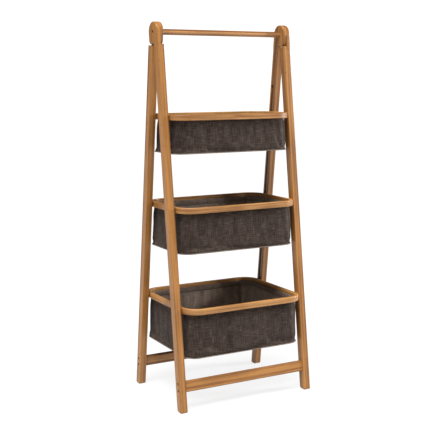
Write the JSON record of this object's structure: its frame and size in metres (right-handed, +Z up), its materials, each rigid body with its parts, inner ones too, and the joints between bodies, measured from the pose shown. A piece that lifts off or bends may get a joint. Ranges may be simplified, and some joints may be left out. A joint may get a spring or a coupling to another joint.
{
  "type": "folding ladder storage rack",
  "caption": "Free-standing folding ladder rack of bamboo: two pairs of legs joined by a round rod, with open fabric baskets on bamboo rims that swing up as it folds.",
  "frame": {"origin": "on the floor, under the middle of the rod", "axes": "+X to the right seen from the front, +Y to the back, +Z up"},
  "size_m": [0.42, 0.309, 1.05],
  "materials": {
    "bamboo": "clear satin lacquer",
    "grey_cloth": "matte grey-brown melange weave",
    "screw_steel": "dark zinc plated",
    "pin_steel": "bright zinc plated",
    "tan_nylon": "tan moulded nylon"
  },
  "bodies": {
    "front_frame": {"front_leg_left": "bamboo", "front_leg_right": "bamboo", "front_crossbar": "bamboo", "front_crossbar_screws_left": "screw_steel", "front_crossbar_screws_right": "screw_steel", "top_rod": "bamboo", "rod_screw_left": "screw_steel", "rod_screw_right": "screw_steel", "top_pivot_pins": "pin_steel", "middle_pivot_pins": "pin_steel", "bottom_pivot_pins": "pin_steel", "top_spacer_washers": "tan_nylon", "middle_spacer_washers": "tan_nylon", "bottom_spacer_washers": "tan_nylon"},
    "rear_frame": {"rear_leg_left": "bamboo", "rear_leg_right": "bamboo", "rear_crossbar": "bamboo", "rear_crossbar_screws_left": "screw_steel", "rear_crossbar_screws_right": "screw_steel"},
    "top_basket": {"top_rim": "bamboo", "top_bag": "grey_cloth", "top_slide_studs": "pin_steel"},
    "middle_basket": {"middle_rim": "bamboo", "middle_bag": "grey_cloth", "middle_slide_studs": "pin_steel"},
    "bottom_basket": {"bottom_rim": "bamboo", "bottom_bag": "grey_cloth", "bottom_slide_studs": "pin_steel"}
  },
  "joints": [
    {"name": "fold", "type": "hinge", "parent": "front_frame", "child": "rear_frame", "pos_m": [0, 0, 1.023], "axis": [-1, 0, 0], "range_deg": [0, 14.2]},
    {"name": "top_tilt", "type": "hinge", "parent": "front_frame", "child": "top_basket", "pos_m": [0, -0.04257, 0.7945], "axis": [1, 0, 0], "range_deg": [0, 63.8], "deforming": ["top_bag"]},
    {"name": "middle_tilt", "type": "hinge", "parent": "front_frame", "child": "middle_basket", "pos_m": [0, -0.07346, 0.5465], "axis": [1, 0, 0], "range_deg": [0, 72], "deforming": ["middle_bag"]},
    {"name": "bottom_tilt", "type": "hinge", "parent": "front_frame", "child": "bottom_basket", "pos_m": [0, -0.10721, 0.2755], "axis": [1, 0, 0], "range_deg": [0, 75.5], "deforming": ["bottom_bag"]}
  ],
  "couplings": [
    {"joint": "top_tilt", "follows": "fold", "ratio": 4.4859},
    {"joint": "middle_tilt", "follows": "fold", "ratio": 5.0634},
    {"joint": "bottom_tilt", "follows": "fold", "ratio": 5.3099}
  ]
}
